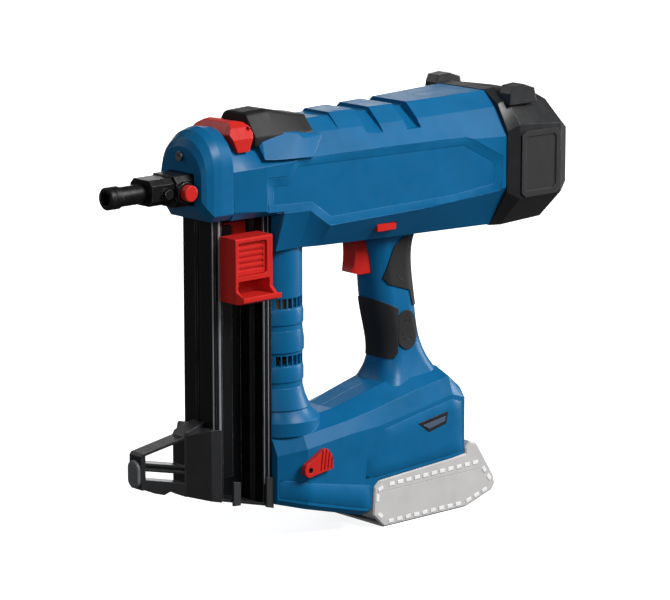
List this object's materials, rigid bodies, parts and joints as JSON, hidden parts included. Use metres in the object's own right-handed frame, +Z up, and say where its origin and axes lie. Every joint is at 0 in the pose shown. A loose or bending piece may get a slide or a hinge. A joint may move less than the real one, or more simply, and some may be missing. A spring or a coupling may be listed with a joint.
{
  "type": "brad nailer",
  "caption": "Cordless brad nailer with a barrel body, angled side magazine with pusher, motor column, trigger grip and a slide-on battery in the foot.",
  "frame": {"origin": "centre of the overall footprint, on the underside of the battery", "axes": "+X from the muzzle to the rear cap, along the drive axis; +Z up; the magazine pusher is on the -Y side"},
  "size_m": [0.441, 0.12, 0.3485],
  "materials": {
    "housing_blue": "satin moulded plastic",
    "cover_black": "fine-grained moulded plastic",
    "soft_black": "soft overmould",
    "control_red": "smooth moulded plastic",
    "rail_black": "black anodised extrusion",
    "nose_black": "black anodised light alloy",
    "foot_grey": "soft grey pad",
    "screw_steel": "plated steel",
    "drive_steel": "ground steel",
    "vessel_steel": "plated steel",
    "drive_aluminium": "turned aluminium",
    "seal_black": "elastomer",
    "motor_steel": "laminations and winding",
    "electric_black": "moulded insulation",
    "board_green": "coated board",
    "battery_grey": "pale moulded plastic",
    "cell_wrap": "wrapped metal can"
  },
  "bodies": {
    "root": {"housing_left": "housing_blue", "housing_right": "housing_blue", "head_cover": "housing_blue", "housing_screws": "screw_steel", "head_screw": "screw_steel", "rear_bumper": "cover_black", "bumper_pad_left": "soft_black", "bumper_pad_right": "soft_black", "top_pad": "soft_black", "jam_lever_pin": "screw_steel", "nose_block": "nose_black", "nose_spring": "drive_steel", "driver_guide": "drive_aluminium", "drive_cylinder": "vessel_steel", "stop_buffer": "seal_black", "reservoir_cap": "vessel_steel", "bearing_carrier": "drive_aluminium", "lifter_bearings": "drive_steel", "gearbox_case": "drive_aluminium", "motor_stator": "motor_steel", "motor_bearings": "drive_steel", "latch_screw": "screw_steel", "trigger_spring": "drive_steel", "trigger_switch": "electric_black", "grip_front_pad": "soft_black", "grip_side_pads": "soft_black", "grip_thumb_pad": "soft_black", "battery_dock": "electric_black", "terminal_block": "electric_black", "control_board": "board_green", "base_vents": "cover_black"},
    "nose": {"contact_tube": "nose_black"},
    "nose_button": {"nose_button": "control_red"},
    "jam_lever": {"jam_lever": "control_red"},
    "magazine": {"magazine_rail": "rail_black", "nail_guide": "rail_black", "magazine_shoe": "cover_black", "magazine_clip": "foot_grey", "support_foot": "cover_black", "foot_pad": "foot_grey", "pusher_spring": "drive_steel"},
    "pusher": {"pusher_frame": "control_red", "pusher_follower": "control_red"},
    "pusher_button": {"pusher_button": "control_red"},
    "magazine_latch": {"magazine_latch": "control_red"},
    "trigger": {"trigger": "control_red"},
    "trigger_lock": {"trigger_lock": "control_red"},
    "piston": {"piston": "vessel_steel", "piston_seal": "seal_black", "driver_blade": "drive_steel"},
    "lifter": {"lifter_wheel": "drive_steel", "lifter_shaft": "drive_steel", "crown_gear": "drive_steel"},
    "pinion": {"drive_pinion": "drive_steel"},
    "rotor": {"motor_rotor": "motor_steel", "motor_fan": "electric_black"},
    "battery": {"battery_case": "battery_grey", "battery_lid": "battery_grey", "battery_cells": "cell_wrap"},
    "battery_button": {"battery_button": "battery_grey"}
  },
  "joints": [
    {"name": "nose_press", "type": "slide", "parent": "root", "child": "nose", "axis": [1, 0, 0], "range_m": [0, 0.018], "stiffness_N_per_m": 300, "springref_m": -0.008, "deforming": ["nose_spring"]},
    {"name": "nose_button_press", "type": "slide", "parent": "root", "child": "nose_button", "axis": [0, 1, 0], "range_m": [0, 0.003], "stiffness_N_per_m": 600, "springref_m": -0.001},
    {"name": "jam_lever_lift", "type": "hinge", "parent": "root", "child": "jam_lever", "pos_m": [-0.0985, 0, 0.337], "axis": [0, 1, 0], "range_deg": [0, 60]},
    {"name": "magazine_drop", "type": "slide", "parent": "root", "child": "magazine", "axis": [0, 0, -1], "range_m": [0, 0.03]},
    {"name": "pusher_slide", "type": "slide", "parent": "magazine", "child": "pusher", "axis": [0, 0, -1], "range_m": [0, 0.13], "stiffness_N_per_m": 20, "springref_m": -0.05},
    {"name": "pusher_button_press", "type": "slide", "parent": "pusher", "child": "pusher_button", "axis": [0, 1, 0], "range_m": [0, 0.0025], "stiffness_N_per_m": 600, "springref_m": -0.001},
    {"name": "magazine_latch_turn", "type": "hinge", "parent": "root", "child": "magazine_latch", "pos_m": [-0.0518, 0, 0.0624], "axis": [0, -1, 0], "range_deg": [0, 75]},
    {"name": "trigger_pull", "type": "slide", "parent": "root", "child": "trigger", "axis": [1, 0, 0], "range_m": [0, 0.007], "stiffness_N_per_m": 500, "springref_m": -0.002, "deforming": ["trigger_spring"]},
    {"name": "trigger_lock_slide", "type": "slide", "parent": "root", "child": "trigger_lock", "axis": [0, 1, 0], "range_m": [0, 0.004]},
    {"name": "piston_stroke", "type": "slide", "parent": "root", "child": "piston", "axis": [-1, 0, 0], "range_m": [0, 0.11519]},
    {"name": "lifter_spin", "type": "hinge", "parent": "root", "child": "lifter", "pos_m": [-0.045, 0, 0.27], "axis": [0, -1, 0], "range_deg": [0, 330.1]},
    {"name": "pinion_spin", "type": "hinge", "parent": "root", "child": "pinion", "pos_m": [-0.053, 0, 0.24], "axis": [0, 0, -1], "range_deg": [0, 1226]},
    {"name": "rotor_spin", "type": "hinge", "parent": "root", "child": "rotor", "pos_m": [-0.053, 0, 0.19], "axis": [0, 0, -1], "range_deg": [0, 4904]},
    {"name": "battery_slide", "type": "slide", "parent": "root", "child": "battery", "axis": [1, 0, 0], "range_m": [0, 0.12]},
    {"name": "battery_button_press", "type": "slide", "parent": "battery", "child": "battery_button", "axis": [-1, 0, 0], "range_m": [0, 0.003], "stiffness_N_per_m": 600, "springref_m": -0.001}
  ],
  "couplings": [
    {"joint": "lifter_spin", "follows": "piston_stroke", "rad_per_m": 50},
    {"joint": "pinion_spin", "follows": "piston_stroke", "rad_per_m": 185.71},
    {"joint": "rotor_spin", "follows": "piston_stroke", "rad_per_m": 742.86}
  ]
}
